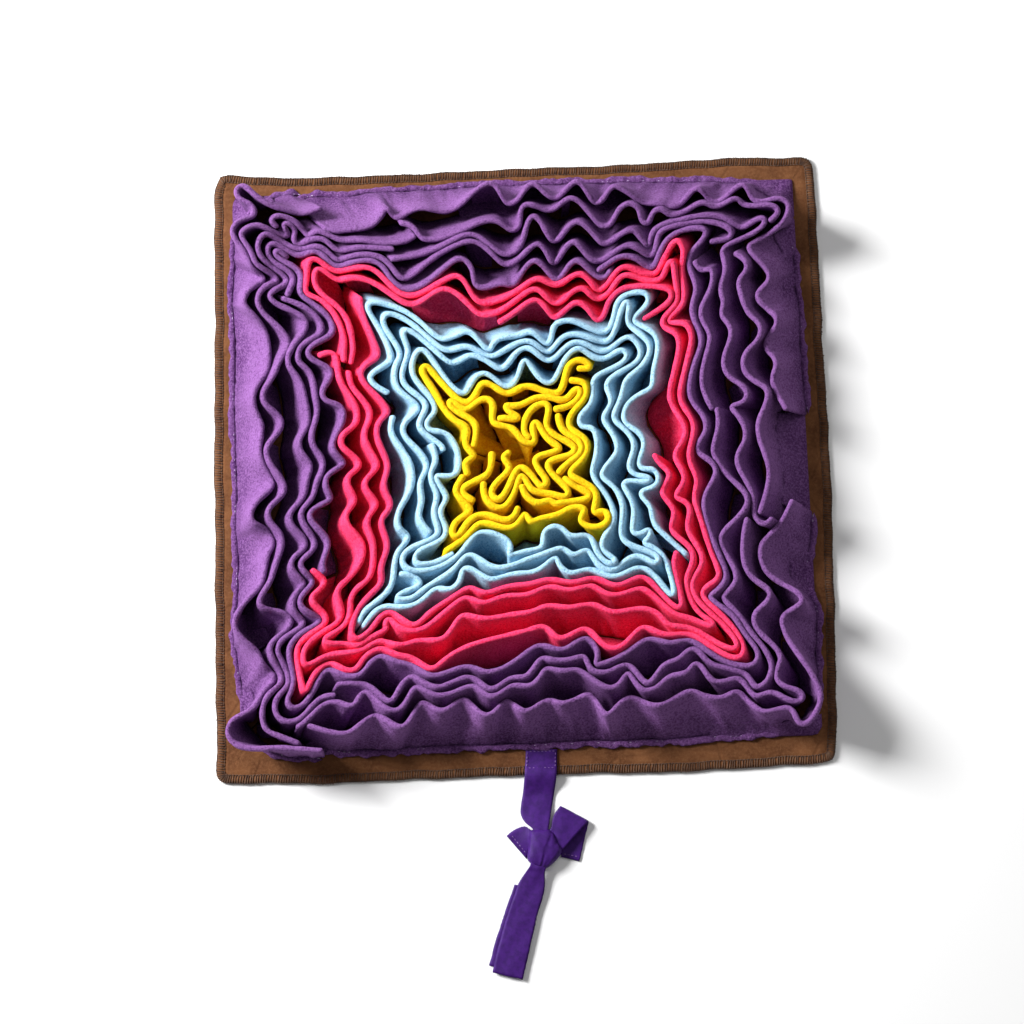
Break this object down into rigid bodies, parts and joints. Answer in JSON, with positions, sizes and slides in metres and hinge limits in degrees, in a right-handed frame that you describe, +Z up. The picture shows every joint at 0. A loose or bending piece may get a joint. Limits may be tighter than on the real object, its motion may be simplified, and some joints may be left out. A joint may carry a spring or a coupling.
{
  "type": "snuffle mat",
  "caption": "Square suede-backed snuffle mat with dense wavy fleece ruffle rows in purple, red, pale blue and yellow, and a knotted satin ribbon tie.",
  "frame": {"origin": "middle of the base cloth's underside, on the surface that it rests on", "axes": "+Z up out of the ruffles, +Y away from the ribbon tie, +X to the right when the ribbon points towards the viewer"},
  "size_m": [0.4972, 0.6584, 0.0489],
  "materials": {
    "purple_fleece": "matt anti-pill fleece",
    "red_fleece": "matt anti-pill fleece",
    "blue_fleece": "matt anti-pill fleece",
    "yellow_fleece": "matt anti-pill fleece",
    "suede": "brushed suede-like microfibre with an overlocked edge",
    "ribbon_satin": "fine ribbed satin ribbon with a soft sheen"
  },
  "bodies": {
    "root": {"base_mat": "suede", "ribbon_knot": "ribbon_satin", "ribbon_left_end": "ribbon_satin", "ribbon_right_end": "ribbon_satin", "ribbon_strap": "ribbon_satin", "ribbon_tail_back": "ribbon_satin", "ribbon_tail_front": "ribbon_satin", "ruffle_blue_1": "blue_fleece", "ruffle_blue_2": "blue_fleece", "ruffle_blue_3": "blue_fleece", "ruffle_blue_4": "blue_fleece", "ruffle_blue_5": "blue_fleece", "ruffle_purple_1": "purple_fleece", "ruffle_purple_10": "purple_fleece", "ruffle_purple_11": "purple_fleece", "ruffle_purple_12": "purple_fleece", "ruffle_purple_13": "purple_fleece", "ruffle_purple_14": "purple_fleece", "ruffle_purple_15": "purple_fleece", "ruffle_purple_2": "purple_fleece", "ruffle_purple_3": "purple_fleece", "ruffle_purple_4": "purple_fleece", "ruffle_purple_5": "purple_fleece", "ruffle_purple_6": "purple_fleece", "ruffle_purple_7": "purple_fleece", "ruffle_purple_8": "purple_fleece", "ruffle_purple_9": "purple_fleece", "ruffle_red_1": "red_fleece", "ruffle_red_2": "red_fleece", "ruffle_red_3": "red_fleece", "ruffle_red_4": "red_fleece", "ruffle_red_5": "red_fleece", "ruffle_yellow_1": "yellow_fleece", "ruffle_yellow_2": "yellow_fleece", "ruffle_yellow_3": "yellow_fleece", "ruffle_yellow_4": "yellow_fleece", "ruffle_yellow_5": "yellow_fleece", "ruffle_yellow_6": "yellow_fleece", "ruffle_yellow_7": "yellow_fleece", "ruffle_yellow_8": "yellow_fleece", "ruffle_yellow_9": "yellow_fleece"}
  },
  "joints": []
}
